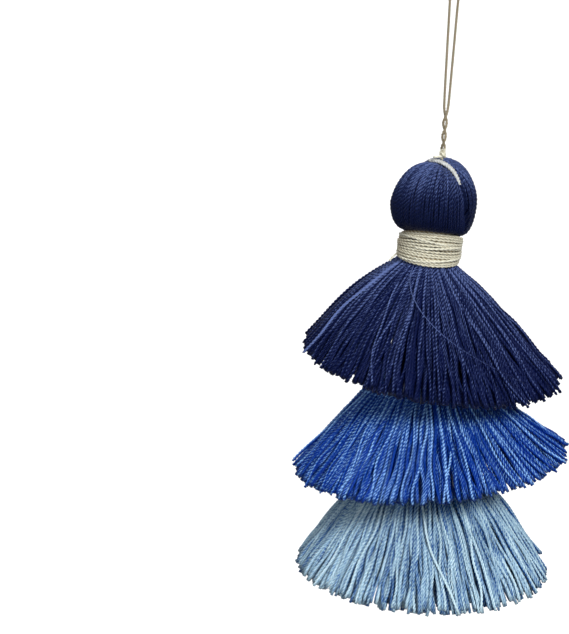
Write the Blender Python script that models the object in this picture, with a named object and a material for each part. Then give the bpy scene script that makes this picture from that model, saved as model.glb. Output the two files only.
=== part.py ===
"""Three-tier yarn tassel hanging on a looped cord. Metres, +Z up.

The origin is the underside of the loop's top, where the tassel hangs on its hook, and the tassel
hangs down along -Z. Three hanks of yarn, navy, royal blue and sky blue, flare from their ties as
skirts of loose locks. The navy hank is folded over the cord, so it has two head lobes with a
groove between them, and its waist is bound with cream cord.
"""

import math
import random
from collections import namedtuple

import bmesh
import bpy
from mathutils import Matrix, Vector

GAP = 0.0003  # clearance between neighbouring pieces
CORD_DIAMETER = 0.0005

# Hanging loop: half the spread of its two legs and their turns about each other, at each height
LoopRow = namedtuple("LoopRow", "z spread turns")
LOOP_ROWS = (
    LoopRow(-0.03445, 0.00029, 0.00),
    LoopRow(-0.03240, 0.00029, 0.46),
    LoopRow(-0.03020, 0.00030, 0.92),
    LoopRow(-0.02820, 0.00032, 1.32),
    LoopRow(-0.02650, 0.00037, 1.48),
    LoopRow(-0.02450, 0.00043, 1.50),
    LoopRow(-0.01600, 0.00058, 1.50),
    LoopRow(-0.00800, 0.00072, 1.50),
    LoopRow(-0.00400, 0.00092, 1.50),
    LoopRow(-0.00100, 0.00110, 1.50),
)
TWISTED_STEP = 0.0006  # between points where the legs twist
PARTED_STEP = 0.0021  # between points where they hang apart
BIGHT_POINTS = 7

# Knot on top of the head, as radius and height rows from its top
KnotRow = namedtuple("KnotRow", "radius z")
KNOT_Z = -0.0355
KNOT_ROWS = (
    KnotRow(0.00030, 0.00065),
    KnotRow(0.00058, 0.00048),
    KnotRow(0.00066, 0.00024),
    KnotRow(0.00052, 0.00004),
    KnotRow(0.00070, -0.00018),
    KnotRow(0.00062, -0.00046),
    KnotRow(0.00030, -0.00065),
)
KNOT_SIDES = 12

# Head: two lobes, each an ellipsoid set off from the head's axis on either side of the groove
HEAD_X = -0.00095
HEAD_Z = -0.0446  # widest level
LOBE_LONG = 0.0068  # half-width along the groove
LOBE_DEEP = 0.0054  # half-width across the groove
LOBE_OFFSET = 0.0027
LOBE_RISE = 0.0080  # widest level up to the lobes' tops
SHOULDER_FALL = 0.18  # how much more steeply the left shoulder falls than the right one
CLEFT_DEPTH = 0.0018  # how much deeper the groove is cut at the sides of the head
CLEFT_WIDTH = 0.0013  # half-width
HEAD_FULLNESS = 2.55  # exponent of the lower half's curve: 2 is round, more is squarer
GROOVE_TURN = math.radians(-28)  # the groove's direction at the widest level and above
GROOVE_TURN_BELOW = math.radians(-15)  # and at the waist
HEAD_ELEVATIONS = (14, 29, 44, 60, 76)  # degrees, rows of the upper half
HEAD_DROPS = (0.0, 0.35, 0.65, 0.85, 0.96)  # rows of the lower half, as shares of its height

# Groove tie: the cord in the groove, by its elevation seen from the head's centre
TIE_FROM = math.radians(42)
TIE_TO = math.radians(99)
TIE_LIFT = 0.00104  # above the bottom of the groove
TIE_POINTS = 10

# Neck binding. Its top edge is higher in front and on the right than its middle height.
BINDING_TURNS = 12
BINDING_RISE = 0.00032  # its lower edge above the tie, clear of the flaring locks
BINDING_HEIGHT = 0.0047
BINDING_FRONT_LIFT = 0.0020
BINDING_RIGHT_LIFT = 0.0002
BINDING_TOP_GAP = 0.00050  # up to the head, measured upright beside the slanting top edge
BINDING_RADIUS = 0.00565
BINDING_BARREL = 0.00022  # the middle turns stand out this much further
BINDING_SIDES = 32
HOLLOW_SHARE = 0.10  # of a turn's height: where the hollow between two turns lies
RIDGE_SHARE = 0.55  # and where the turn stands out furthest
TURN_RELIEF = 0.00012
TAIL_DIAMETER = 0.0004
TailRow = namedtuple("TailRow", "out rise")
TAIL_ROWS = (
    TailRow(0.0003, -0.0004),
    TailRow(0.0008, -0.0009),
    TailRow(0.0013, -0.0015),
)

# Skirts. The tie is where the locks leave the waist; the rim is the circle of the outer tips.
# A positive tilt lowers the +X side. The bulge is how far a lock's middle stands out of the
# straight line, and bulge_right is added on the +X side and taken off on the other. The back_drop
# is how much lower the rim hangs at the back.
Skirt = namedtuple(
    "Skirt",
    "tie_x tie_z tie_tilt waist core rim_x rim_z rim_radius rim_tilt bulge bulge_right back_drop",
)
TOP = Skirt(
    -0.00135, -0.0552, math.radians(5), 0.0050, 0.0022,
    0.0008, -0.0742, 0.02315, math.radians(4.9), 0.0016, -0.0005, 0.0,
)
MIDDLE = Skirt(
    0.0, -0.0720, math.radians(-8), 0.0043, 0.0017,
    0.0019, -0.0923, 0.0246, math.radians(-8.0), -0.0008, -0.0014, 0.0026,
)
BOTTOM = Skirt(
    0.0, -0.0880, 0.0, 0.0043, 0.0,
    0.0016, -0.1136, 0.0230, math.radians(-0.3), 0.0008, 0.0005, 0.0012,
)

# Rings of locks. Root shares run from the core's edge (0) to the waist (1), and flare is the
# share of the rim's angle from the vertical that the ring's locks open to.
LockRing = namedtuple(
    "LockRing", "count root_out root_in flare length tip_width tip_depth steps"
)
SKIRT_RINGS = (
    LockRing(44, 0.97, 0.70, 1.00, 1.00, 0.78, 0.0016, 3),
    LockRing(22, 0.64, 0.38, 0.83, 0.96, 0.56, 0.0018, 2),
    LockRing(14, 0.32, 0.08, 0.68, 0.88, 0.50, 0.0014, 2),
)
BOTTOM_RINGS = (
    LockRing(44, 0.97, 0.80, 1.00, 1.00, 0.78, 0.0016, 3),
    LockRing(22, 0.75, 0.55, 0.76, 1.00, 0.62, 0.0022, 2),
    LockRing(14, 0.50, 0.30, 0.50, 1.00, 0.62, 0.0026, 2),
    LockRing(6, 0.25, 0.08, 0.22, 1.00, 0.70, 0.0030, 2),
)
ROOT_RISE = 0.0015  # the locks are fused to their backing this far above the tie
CORE_SIDES = 16
CORE_TAPER = 0.90  # a lower hank's core at its top, as a share of its radius
CORE_FOOT_RISE = 0.0060  # the core widens into the skirt's shoulder from here, above the tie
SHOULDER_RISE = 0.0037
SHOULDER_TAPER = 0.92
ROOT_INSET = 0.00005
STAGGER = 0.25  # turns each inner ring by this share of its pitch, so that it fills gaps
ROOT_WIDTH_SHARE = 0.80  # of the ring's pitch, where the locks leave the tie
LENGTH_SPREAD = 0.05  # uneven cutting, as a share of a lock's length
LEAN_SPREAD = 0.10  # uneven fall, as a share of a ring's pitch
SEED = 11

NAVY = (0.020, 0.030, 0.130, 1.0)
ROYAL = (0.020, 0.090, 0.420, 1.0)
SKY = (0.180, 0.380, 0.640, 1.0)
CREAM = (0.600, 0.540, 0.400, 1.0)


def clear_scene():
    for obj in list(bpy.data.objects):
        bpy.data.objects.remove(obj, do_unlink=True)


def yarn_material(name, colour, roughness):
    material = bpy.data.materials.new(name)
    material.use_nodes = True
    shader = material.node_tree.nodes["Principled BSDF"]
    shader.inputs["Base Color"].default_value = colour
    shader.inputs["Roughness"].default_value = roughness
    shader.inputs["Metallic"].default_value = 0.0
    return material


def mesh_object(name, bm, material):
    """An object of its own from a finished bmesh, with outward faces."""
    bmesh.ops.recalc_face_normals(bm, faces=bm.faces)
    if bm.calc_volume(signed=True) < 0:
        bmesh.ops.reverse_faces(bm, faces=bm.faces)
    mesh = bpy.data.meshes.new(name)
    bm.to_mesh(mesh)
    bm.free()
    mesh.shade_smooth()
    mesh.set_sharp_from_angle(angle=math.radians(50))
    mesh.materials.append(material)
    obj = bpy.data.objects.new(name, mesh)
    bpy.context.scene.collection.objects.link(obj)
    return obj


def cord_object(name, points, diameter, material):
    """A plain round cord along the points."""
    curve = bpy.data.curves.new(name, "CURVE")
    curve.dimensions = "3D"
    curve.bevel_depth = diameter / 2
    curve.bevel_resolution = 2
    curve.use_fill_caps = True
    spline = curve.splines.new("POLY")
    spline.points.add(len(points) - 1)
    for slot, point in zip(spline.points, points):
        slot.co = (*point, 1.0)
    curve.materials.append(material)
    obj = bpy.data.objects.new(name, curve)
    bpy.context.scene.collection.objects.link(obj)
    return obj


def circle(bm, frame, radius, z, count, start=0.0):
    """A ring of vertices about the frame's Z axis, in order of their angle."""
    placed = frame @ Matrix.Translation((0, 0, z)) @ Matrix.Rotation(start, 4, "Z")
    made = bmesh.ops.create_circle(bm, radius=radius, segments=count, matrix=placed)
    return made["verts"]


def bridge(bm, first, second):
    """Faces between two rings: quads where their counts are equal, or else triangles."""
    m, n = len(first), len(second)
    faces = []
    i = j = 0
    while i < m or j < n:
        corners = [first[i % m], second[j % n]]
        if m == n:
            corners[1:1] = [first[(i + 1) % m], second[(j + 1) % n]]
            i, j = i + 1, j + 1
        elif (i + 1) * n <= (j + 1) * m:
            corners[1:1] = [first[(i + 1) % m]]
            i += 1
        else:
            corners[1:1] = [second[(j + 1) % n]]
            j += 1
        faces.append(bm.faces.new(corners))
    return faces


def cap(bm, ring):
    return bm.faces.new(ring)


def frame_at(x, z, tilt):
    return Matrix.Translation((x, 0, z)) @ Matrix.Rotation(tilt, 4, "Y")


def binding_frame():
    """The band's lower edge, just above the tie where the top skirt starts to flare."""
    return frame_at(TOP.tie_x, TOP.tie_z, TOP.tie_tilt) @ Matrix.Translation((0, 0, BINDING_RISE))


def band_lift(x, y):
    """How much higher than its middle the band's top edge is, x and y from the tie's axis."""
    return (BINDING_RIGHT_LIFT * x - BINDING_FRONT_LIFT * y) / BINDING_RADIUS


def lean(ring, frame, share):
    """Slants a ring of the frame, by its share of the way up the band."""
    for vert in ring:
        spot = frame.inverted() @ vert.co
        spot.z += share * band_lift(spot.x, spot.y)
        vert.co = frame @ spot
    return ring


def smooth_between(rows, z, column):
    """The column's value at height z, on a smooth curve through the rows."""
    last = len(rows) - 1
    i = next(k for k in range(last) if z <= rows[k + 1].z or k == last - 1)
    before, low, high, after = (rows[min(max(k, 0), last)] for k in (i - 1, i, i + 1, i + 2))
    a, b, c, d = (getattr(row, column) for row in (before, low, high, after))
    t = (z - low.z) / (high.z - low.z)
    span = high.z - low.z
    slope_low = (c - a) / (high.z - before.z) * span
    slope_high = (d - b) / (after.z - low.z) * span
    return (
        (2 * t**3 - 3 * t**2 + 1) * b
        + (t**3 - 2 * t**2 + t) * slope_low
        + (3 * t**2 - 2 * t**3) * c
        + (t**3 - t**2) * slope_high
    )


def loop_route():
    """Up one leg from the knot, over the bight and down the other leg."""
    bottom, top = LOOP_ROWS[0].z, LOOP_ROWS[-1].z
    parted_from = LOOP_ROWS[5].z
    twisted = round((parted_from - bottom) / TWISTED_STEP)
    parted = round((top - parted_from) / PARTED_STEP)
    heights = [bottom + (parted_from - bottom) * i / twisted for i in range(twisted)]
    heights += [parted_from + (top - parted_from) * i / parted for i in range(parted + 1)]
    leg = []
    for z in heights:
        angle = math.tau * smooth_between(LOOP_ROWS, z, "turns")
        spread = smooth_between(LOOP_ROWS, z, "spread")
        leg.append(Vector((spread * math.cos(angle), spread * math.sin(angle), z)))
    radius = LOOP_ROWS[-1].spread
    rise = CORD_DIAMETER / 2 - top
    side = math.copysign(radius, leg[-1].x)
    bight = [
        Vector((side * math.cos(turn), 0, top + rise * math.sin(turn)))
        for turn in (math.pi * (i + 1) / (BIGHT_POINTS + 1) for i in range(BIGHT_POINTS))
    ]
    other = [Vector((-point.x, -point.y, point.z)) for point in reversed(leg)]
    return leg + bight + other


def lobe_reach(direction, turn):
    """Distance from the head's centre to the outside of its two lobes."""
    along = Vector((math.cos(turn), math.sin(turn), 0))
    across = Vector((-along.y, along.x, 0))
    g, n, h = direction.dot(along), abs(direction.dot(across)), direction.z
    g *= 1 + SHOULDER_FALL * h * max(0.0, -g)
    a = (g / LOBE_LONG) ** 2 + (n / LOBE_DEEP) ** 2 + (h / LOBE_RISE) ** 2
    b = n * LOBE_OFFSET / LOBE_DEEP**2
    c = (LOBE_OFFSET / LOBE_DEEP) ** 2 - 1
    reach = (b + math.sqrt(b * b - a * c)) / a
    nearness = max(0.0, 1 - n * reach / CLEFT_WIDTH)
    return reach - CLEFT_DEPTH * nearness * (1 - h)


def head_centre():
    return Vector((HEAD_X, 0, HEAD_Z))


def add_head(bm, waist_ring, waist, count):
    """The two-lobed head, from the waist's ring up to its top."""
    below = waist_ring
    for share in reversed(HEAD_DROPS):
        turn = GROOVE_TURN + (GROOVE_TURN_BELOW - GROOVE_TURN) * share
        narrowing = (1 - share**HEAD_FULLNESS) ** (1 / HEAD_FULLNESS)
        ring = circle(bm, Matrix(), 1.0, 0.0, count, turn)
        for vert in ring:
            direction = vert.co.normalized()
            reach = lobe_reach(direction, turn)
            radius = TOP.waist + (reach - TOP.waist) * narrowing
            level = waist @ (direction * radius)
            spot = head_centre().lerp(waist.translation, share) + direction * radius
            lift = band_lift(direction.x * TOP.waist, direction.y * TOP.waist) * share**2
            vert.co = (spot.x, spot.y, HEAD_Z + (level.z - HEAD_Z) * share + lift)
        bridge(bm, below, ring)
        below = ring
    for elevation in HEAD_ELEVATIONS:
        rise = math.radians(elevation)
        ring = circle(bm, Matrix(), 1.0, 0.0, count, GROOVE_TURN)
        for vert in ring:
            flat = vert.co.normalized()
            direction = flat * math.cos(rise) + Vector((0, 0, math.sin(rise)))
            vert.co = head_centre() + direction * lobe_reach(direction, GROOVE_TURN)
        bridge(bm, below, ring)
        below = ring
    pole = bmesh.ops.poke(bm, faces=[cap(bm, below)])["verts"][0]
    up = Vector((0, 0, 1))
    pole.co = head_centre() + up * lobe_reach(up, GROOVE_TURN)


def groove_route():
    """Along the groove, from one side of the head over the top to the other."""
    along = Vector((math.cos(GROOVE_TURN), math.sin(GROOVE_TURN), 0))
    points = []
    for i in range(TIE_POINTS):
        rise = TIE_FROM + (TIE_TO - TIE_FROM) * i / (TIE_POINTS - 1)
        direction = along * math.cos(rise) + Vector((0, 0, math.sin(rise)))
        reach = lobe_reach(direction, GROOVE_TURN) + TIE_LIFT
        points.append(head_centre() + direction * reach)
    return points


def rim_point(skirt, angle):
    x = skirt.rim_x + skirt.rim_radius * math.cos(angle)
    drop = math.tan(skirt.rim_tilt) * skirt.rim_radius * math.cos(angle)
    drop += skirt.back_drop * max(0.0, math.sin(angle))
    return Vector((x, skirt.rim_radius * math.sin(angle), skirt.rim_z - drop))


def lock_sections(skirt, ring, angle, root, length_share):
    """Centre, width direction, outward direction, width and depth at each step of a lock."""
    frame = frame_at(skirt.tie_x, skirt.tie_z, skirt.tie_tilt)
    radial = Vector((math.cos(angle), math.sin(angle), 0))
    sideways = Vector((-radial.y, radial.x, 0))
    waist_exit = frame @ (radial * skirt.waist)
    way = rim_point(skirt, angle) - waist_exit
    reach = way.dot(radial)
    flare = math.atan2(reach, -way.z) * ring.flare
    length = math.hypot(reach, way.z) * ring.length * length_share
    leaves = frame @ (radial * root)
    run = Vector((radial.x * math.sin(flare), radial.y * math.sin(flare), -math.cos(flare)))
    outward = Vector((radial.x * math.cos(flare), radial.y * math.cos(flare), math.sin(flare)))
    tip = leaves + run * length
    bulge = (skirt.bulge + skirt.bulge_right * math.cos(angle)) * ring.flare
    middle = leaves.lerp(tip, 0.5) + outward * bulge
    root_width = math.tau * root / ring.count * ROOT_WIDTH_SHARE
    root_depth = (skirt.waist - skirt.core) * (ring.root_out - ring.root_in) - 2 * ROOT_INSET
    sections = [(leaves, sideways, radial, root_width, root_depth)]
    for step in range(1, ring.steps + 1):
        t = step / ring.steps
        centre = leaves * (1 - t) ** 2 + middle * (2 * t * (1 - t)) + tip * t**2
        heading = ((middle - leaves) * (1 - t) + (tip - middle) * t).normalized()
        across = heading.cross(sideways).normalized()
        radius = root + length * math.sin(flare) * t
        width = math.tau * radius / ring.count * (
            ROOT_WIDTH_SHARE + (ring.tip_width - ROOT_WIDTH_SHARE) * t
        )
        depth = root_depth + (ring.tip_depth - root_depth) * t
        if across.dot(outward) < 0:
            across = -across
        sections.append((centre, sideways, across, width, depth))
    return sections


def corner_signs(face, sideways, across):
    """Which corner of a four-sided face is low or high along the two directions."""
    signs = {}
    by_across = sorted(face.verts, key=lambda vert: vert.co.dot(across))
    for out, pair in ((-1, by_across[:2]), (1, by_across[2:])):
        for side, vert in zip((-1, 1), sorted(pair, key=lambda vert: vert.co.dot(sideways))):
            signs[tuple(vert.co)] = (side, out)
    return signs


def grow(bm, face, sections):
    """Extrudes a four-sided face through the sections, one after another."""
    signs = corner_signs(face, sections[0][1], sections[0][2])
    for centre, sideways, across, width, depth in sections:
        face = bmesh.ops.extrude_discrete_faces(bm, faces=[face])["faces"][0]
        moved = {}
        for vert in face.verts:
            side, out = signs[tuple(vert.co)]
            vert.co = centre + sideways * (side * width / 2) + across * (out * depth / 2)
            moved[tuple(vert.co)] = (side, out)
        signs = moved
    return face


def add_locks(bm, skirt, rings, rim, dice):
    """Fills the backing's underside, inwards from its edge, with rings of locks."""
    frame = frame_at(skirt.tie_x, skirt.tie_z, skirt.tie_tilt)
    span = skirt.waist - skirt.core
    roots = []
    for ring in rings:
        outer_radius = skirt.core + span * ring.root_out
        inner_radius = skirt.core + span * ring.root_in
        start = STAGGER * math.tau / ring.count
        outer = circle(bm, frame, outer_radius, ROOT_RISE, ring.count, start)
        bridge(bm, rim, outer)
        inner = circle(bm, frame, inner_radius, ROOT_RISE, ring.count, start)
        roots += [(ring, face) for face in bridge(bm, outer, inner)]
        rim = inner
    cap(bm, rim)
    for ring, face in roots:
        spot = frame.inverted() @ face.calc_center_median()
        pitch = math.tau / ring.count
        lean = dice.uniform(-LEAN_SPREAD, LEAN_SPREAD) * pitch
        length_share = 1 + dice.uniform(-LENGTH_SPREAD, LENGTH_SPREAD / 2)
        angle = math.atan2(spot.y, spot.x)
        root = Vector((spot.x, spot.y)).length
        sections = lock_sections(skirt, ring, angle, root, length_share)
        tip = sections[-1]
        sections[-1] = (tip[0] + tip[1] * lean * tip[0].xy.length, *tip[1:])
        bmesh.ops.inset_individual(bm, faces=[face], thickness=ROOT_INSET)
        grow(bm, face, sections)


def make_upper_hank(material, dice):
    """The folded hank: head, waist and top skirt in one piece."""
    bm = bmesh.new()
    frame = frame_at(TOP.tie_x, TOP.tie_z, TOP.tie_tilt)
    count = SKIRT_RINGS[0].count
    roots = circle(bm, frame, TOP.waist, ROOT_RISE, count, GROOVE_TURN_BELOW)
    waist = binding_frame() @ Matrix.Translation((0, 0, BINDING_HEIGHT + BINDING_TOP_GAP))
    collar = lean(circle(bm, waist, TOP.waist, 0.0, count, GROOVE_TURN_BELOW), waist, 1.0)
    bridge(bm, roots, collar)
    add_head(bm, collar, waist, count)
    add_locks(bm, TOP, SKIRT_RINGS, roots, dice)
    return mesh_object("upper_hank", bm, material)


def make_lower_hank(name, skirt, rings, above, material, dice):
    """A hank whose bundled core runs up to the hank above, with its skirt below its own tie."""
    bm = bmesh.new()
    frame = frame_at(skirt.tie_x, skirt.tie_z, skirt.tie_tilt)
    top = above.tie_z + ROOT_RISE - GAP - abs(math.sin(above.tie_tilt)) * above.core
    core_radius = above.core - GAP
    count = rings[0].count
    upper = circle(bm, frame_at(above.tie_x, top, 0), core_radius * CORE_TAPER, 0.0, CORE_SIDES)
    cap(bm, upper)
    foot = frame_at(skirt.tie_x, skirt.tie_z + CORE_FOOT_RISE, 0)
    lower = circle(bm, foot, core_radius, 0.0, CORE_SIDES)
    bridge(bm, upper, lower)
    shoulder = circle(bm, frame, skirt.waist * SHOULDER_TAPER, SHOULDER_RISE, count)
    bridge(bm, lower, shoulder)
    roots = circle(bm, frame, skirt.waist, ROOT_RISE, count)
    bridge(bm, shoulder, roots)
    add_locks(bm, skirt, rings, roots, dice)
    return mesh_object(name, bm, material)


def make_binding(material):
    """The wound band, a ridge for each turn, with the cord's free end at the lower left."""
    bm = bmesh.new()
    frame = binding_frame()
    inner_radius = (TOP.waist + GAP) / math.cos(math.pi / BINDING_SIDES)

    def band_ring(radius, share):
        ring = circle(bm, frame, radius, share * BINDING_HEIGHT, BINDING_SIDES)
        return lean(ring, frame, share)

    first = band_ring(inner_radius, 0.0)
    below = first
    for turn in range(BINDING_TURNS):
        from_middle = 2 * (turn + 0.5) / BINDING_TURNS - 1
        ridge = BINDING_RADIUS + BINDING_BARREL * (1 - from_middle**2)
        hollow_ring = band_ring(ridge - TURN_RELIEF, (turn + HOLLOW_SHARE) / BINDING_TURNS)
        ridge_ring = band_ring(ridge, (turn + RIDGE_SHARE) / BINDING_TURNS)
        bridge(bm, below, hollow_ring)
        turn_faces = bridge(bm, hollow_ring, ridge_ring)
        if turn == 0:
            tail_face = min(turn_faces, key=lambda face: face.calc_center_median().x)
        below = ridge_ring
    last = band_ring(inner_radius, 1.0)
    bridge(bm, below, last)
    bridge(bm, last, first)
    add_tail(bm, tail_face, frame.translation)
    return mesh_object("neck_binding", bm, material)


def add_tail(bm, face, axis_point):
    """The cord's free end, drawn out of one face of the band."""
    start = face.calc_center_median()
    radial = start - axis_point
    radial.z = 0
    radial.normalize()
    sideways = Vector((-radial.y, radial.x, 0))
    up = Vector((0, 0, 1))
    sections = [
        (start + radial * row.out + up * row.rise, sideways, up, TAIL_DIAMETER, TAIL_DIAMETER)
        for row in TAIL_ROWS
    ]
    grow(bm, face, sections)


def make_knot(material):
    bm = bmesh.new()
    frame = frame_at(0, KNOT_Z, 0)
    rings = [circle(bm, frame, row.radius, row.z, KNOT_SIDES) for row in KNOT_ROWS]
    cap(bm, rings[0])
    for upper, lower in zip(rings, rings[1:]):
        bridge(bm, upper, lower)
    cap(bm, rings[-1])
    return mesh_object("loop_knot", bm, material)


clear_scene()
navy = yarn_material("navy_yarn", NAVY, 0.6)
royal = yarn_material("royal_yarn", ROYAL, 0.5)
sky = yarn_material("sky_yarn", SKY, 0.5)
cream = yarn_material("cream_cord", CREAM, 0.4)
lots = random.Random(SEED)
make_upper_hank(navy, lots)
make_lower_hank("middle_hank", MIDDLE, SKIRT_RINGS, TOP, royal, lots)
make_lower_hank("bottom_hank", BOTTOM, BOTTOM_RINGS, MIDDLE, sky, lots)
make_binding(cream)
make_knot(cream)
cord_object("hanging_loop", loop_route(), CORD_DIAMETER, cream)
cord_object("groove_tie", groove_route(), CORD_DIAMETER, cream)
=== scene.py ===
"""Looks of the three-tier yarn tassel: every yarn, the wound cord and the twisted hanging loop.

Metres, +Z up. The origin is the underside of the loop's top, and the camera stands on -Y. The yarns
that show best are two round tubes twisted about each other. The others are single tubes with painted
plies, and a cord is a tube whose two-ply section turns along its length.
"""

import math
from collections import namedtuple

import bmesh
import bpy
import numpy as np
from mathutils import Matrix, Vector


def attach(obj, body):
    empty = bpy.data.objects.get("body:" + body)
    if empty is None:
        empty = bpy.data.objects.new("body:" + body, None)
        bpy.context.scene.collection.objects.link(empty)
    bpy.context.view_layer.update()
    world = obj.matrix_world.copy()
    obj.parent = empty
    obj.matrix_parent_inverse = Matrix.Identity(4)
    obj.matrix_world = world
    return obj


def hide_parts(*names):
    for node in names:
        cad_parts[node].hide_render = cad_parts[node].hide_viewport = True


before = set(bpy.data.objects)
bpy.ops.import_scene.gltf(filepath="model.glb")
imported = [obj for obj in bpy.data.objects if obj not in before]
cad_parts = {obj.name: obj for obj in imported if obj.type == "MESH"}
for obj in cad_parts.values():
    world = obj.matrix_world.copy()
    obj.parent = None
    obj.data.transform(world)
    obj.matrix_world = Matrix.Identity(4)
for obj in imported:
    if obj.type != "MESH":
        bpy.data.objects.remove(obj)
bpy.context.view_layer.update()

# Camera, at the photograph's angle
CAMERA_AIM = (-0.026247, 0.0, -0.067198)
CAMERA_DISTANCE = 0.5
CAMERA_PITCH = math.radians(17)
CAMERA_ROLL = math.radians(3.3)
CAMERA_LENS = 157.7
CAMERA_SENSOR = 36.0
CAMERA_NEAR = 0.01

# Skirts, as in the solids. The tie is where the yarns leave the waist, and the rim is the circle of
# the outer tips. A positive tilt lowers the +X side. The back_drop is how much lower the rim hangs at
# the back.
Skirt = namedtuple(
    "Skirt", "tie_x tie_z tie_tilt waist rim_x rim_z rim_radius rim_tilt bulge bulge_right back_drop"
)
TOP = Skirt(
    -0.00135, -0.0552, math.radians(5), 0.0050,
    0.0008, -0.0742, 0.02315, math.radians(4.9), 0.0016, -0.0005, 0.0,
)
MIDDLE = Skirt(
    0.0, -0.0720, math.radians(-8), 0.0043,
    0.0019, -0.0923, 0.0246, math.radians(-8.0), -0.0008, -0.0014, 0.0026,
)
BOTTOM = Skirt(
    0.0, -0.0880, 0.0, 0.0043,
    0.0016, -0.1136, 0.0230, math.radians(-0.3), 0.0008, 0.0005, 0.0012,
)

# Yarns
SEED = 7
PLIES = 2
YARN_RADIUS = 0.00033
YARN_PITCH = 0.00150  # one full turn of its plies
PITCH_SPREAD = 0.12  # from yarn to yarn, as a share
PLY_OFFSET = 0.48  # of the yarn's radius, from its middle to the middle of a ply
PLY_GIRTH = 0.56  # a ply's radius, as a share of the yarn's
PLY_SIDES = 4
PLY_NOISE_STEP = 0.0107  # sets the noise along one ply apart from the other's
PAINTED_REPEAT = 2  # painted plies lie this much closer round a plain yarn, so they run as steeply
# Painted shade on plies: pale where they face out of the yarn, deep at their edges
PLAIN_FRONT = 0.55  # how pale plain yarns and cords are, where a ply's outer side has 1 and its edges 0
TWISTED_SIDES = 6
YARN_SIDES = 5
PLAIN_RADIUS = 0.00032  # yarns in the second row, with their twist left to the material
INNER_RADIUS = 0.00044
FINE_STEP = 0.00030  # between the sections of a yarn whose twist is in the mesh
HIDDEN_SHARE = 0.22  # of a yarn's length, where the skirt above hides it
HIDDEN_RINGS = 7  # sections of that hidden part
COARSE_RINGS = 24
INNER_SIDES = 4
INNER_RINGS = 14
GIRTH_SPREAD = (0.88, 1.10)
TIP_GIRTH = 0.92

# How the yarns fall
SKIRT_SAMPLES = 60  # points on a yarn's curve
CLUMPS = 37
CLUMP_SPREAD = 0.35  # of the space between them
CLUMP_PULL = 0.17
CLUMP_LIFT = 0.012
ROOT_SPREAD = 0.3  # of the space between roots
RIM_JITTER = 0.031
STRAY_SHARE = 0.09
STRAY_TURN = 0.12
LENGTH_SPREAD = 0.026
LONGER_SHARE = 0.4  # of that spread, for the yarns that run long
TRIM = 0.6  # 1 trims every yarn at the rim's level, 0 gives them all the same length
SHOULDER = 0.0004  # how far yarns stand out just past the tie
WAVE = 0.00042
WAVE_SPREAD = (0.3, 1.4)
WAVE_LENGTHS = (0.010, 0.022)
WAVE_OUTWARD = 0.55  # of the sideways wave
WAVE_GROWTH = 0.7  # powers of the share of a yarn's length
TURN_GROWTH = 1.15
ROOT_HEIGHTS = (0.0022, 0.0014, 0.0008, 0.0003)
ROOT_SMOOTHING = 3  # rounds
LOOSE_ROOT = 0.94  # of the waist's radius

# Tones, which are shares of a yarn's own, at its root, its middle and its cut end. They paint shade:
# the royal and sky roots are deep under the tier above, and the navy darkens towards its lower edge.
TONE_SPREAD = (0.15, 1.0)
TONE_PLACES = (0.15, 0.50, 1.00)  # shares of a yarn's length
NAVY_TONES = (0.88, 0.72, 0.28)
ROYAL_TONES = (0.70, 0.88, 0.90)
SKY_TONES = (-2.2, 0.8, 1.1)
LOOSE_LEAST_TONE = 0.5

# A skirt's layers of yarns, from the outside in. Roots are shares of the waist's radius. An aim of 1
# ends on the rim, and less hangs steeper. Gathered yarns are drawn into locks, unruly ones wander
# from their places round the rim, and tone is how pale the palest yarns of the layer are. Deeper
# layers have lower tones, painted shade between the outer yarns.
Layer = namedtuple("Layer", "part count root_low root_high aim_low aim_high gathered unruly tone")
SKIRT_LAYERS = (
    Layer("outer", 106, 0.88, 0.94, 0.994, 1.016, 1.0, 1.0, 1.0),
    Layer("second", 124, 0.80, 0.90, 0.985, 1.004, 0.1, 0.3, 0.9),
    Layer("second", 146, 0.70, 0.86, 0.970, 0.998, 0.0, 0.2, 0.8),
    Layer("inner", 166, 0.56, 0.80, 0.935, 0.986, 0.0, 0.3, 0.7),
    Layer("inner", 84, 0.53, 0.70, 0.800, 0.905, 0.0, 1.0, 0.6),
    Layer("inner", 50, 0.53, 0.62, 0.660, 0.800, 0.0, 1.0, 0.5),
)
BOTTOM_LAYERS = SKIRT_LAYERS[:-1] + (
    Layer("inner", 64, 0.36, 0.60, 0.560, 0.780, 0.0, 1.0, 0.5),
    Layer("inner", 40, 0.18, 0.40, 0.300, 0.560, 0.0, 1.0, 0.5),
    Layer("inner", 22, 0.02, 0.20, 0.020, 0.300, 0.0, 1.0, 0.5),
)

# Loose yarns over a skirt's outside, by the place of their roots about its axis and how far round it
# they wander on their way to the rim. A pale one has a tone above 1.
Loose = namedtuple("Loose", "skirt angle turn aim length radius tone")
LOOSE_YARNS = (
    Loose(TOP, math.radians(-122), math.radians(78), 1.008, 0.80, 0.00010, 1.4),
    Loose(TOP, math.radians(-161), math.radians(-5), 1.035, 1.00, 0.00032, 3.2),
    Loose(TOP, math.radians(-128), math.radians(14), 1.020, 0.96, 0.00030, 1.0),
    Loose(TOP, math.radians(-60), math.radians(16), 1.020, 1.01, 0.00031, 0.9),
    Loose(MIDDLE, math.radians(-66), math.radians(-17), 1.020, 1.00, 0.00031, 0.9),
    Loose(MIDDLE, math.radians(-140), math.radians(12), 1.015, 1.00, 0.00031, 0.7),
    Loose(BOTTOM, math.radians(-98), math.radians(27), 1.020, 0.99, 0.00028, 1.5),
    Loose(BOTTOM, math.radians(-50), math.radians(-12), 1.015, 1.00, 0.00028, 1.4),
    Loose(BOTTOM, math.radians(80), math.radians(18), 1.015, 1.00, 0.00028, 1.4),
)

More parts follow.
